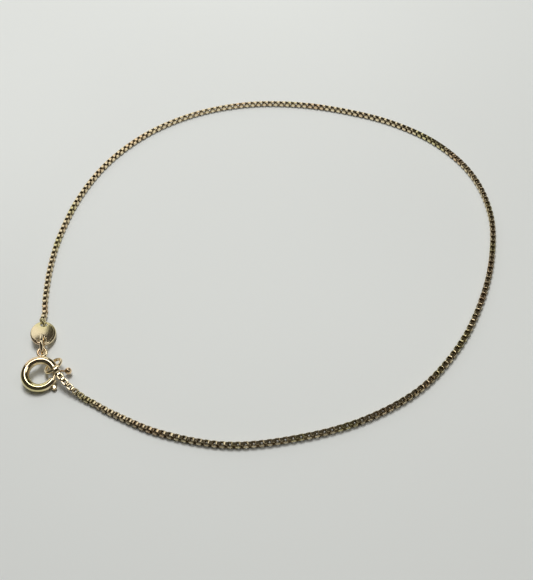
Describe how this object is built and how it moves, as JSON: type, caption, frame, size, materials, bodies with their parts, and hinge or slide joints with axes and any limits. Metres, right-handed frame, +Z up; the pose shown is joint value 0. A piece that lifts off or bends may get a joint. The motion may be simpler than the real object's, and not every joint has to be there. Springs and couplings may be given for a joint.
{
  "type": "chain anklet",
  "caption": "Fine box chain anklet, fastened in a loop and lying flat, with an oval tag, small rings and a spring ring clasp.",
  "frame": {"origin": "under the middle of the anklet's box, on the surface that it lies on", "axes": "+Z up from the surface; +X from the clasp's side of the loop to the far side; +Y away from the viewer of the picture"},
  "size_m": [0.0798, 0.0774, 0.0038],
  "materials": {
    "chain_gold": "polished pale gold",
    "tag_gold": "brushed and polished pale gold",
    "ring_gold": "polished gold",
    "clasp_gold": "polished gold"
  },
  "bodies": {
    "anklet": {"chain": "chain_gold", "tag_ring": "ring_gold", "tag": "tag_gold", "joining_ring": "ring_gold", "clasp_body": "clasp_gold", "end_ring": "ring_gold"},
    "bolt": {"clasp_bolt": "clasp_gold"}
  },
  "joints": [
    {"name": "bolt_draw", "type": "hinge", "parent": "anklet", "child": "bolt", "pos_m": [-0.03695, -0.02102, 0.00128], "axis": [0.0958, -0.2495, 0.9636], "range_deg": [0, 20], "stiffness_Nm_per_rad": 0.004}
  ]
}
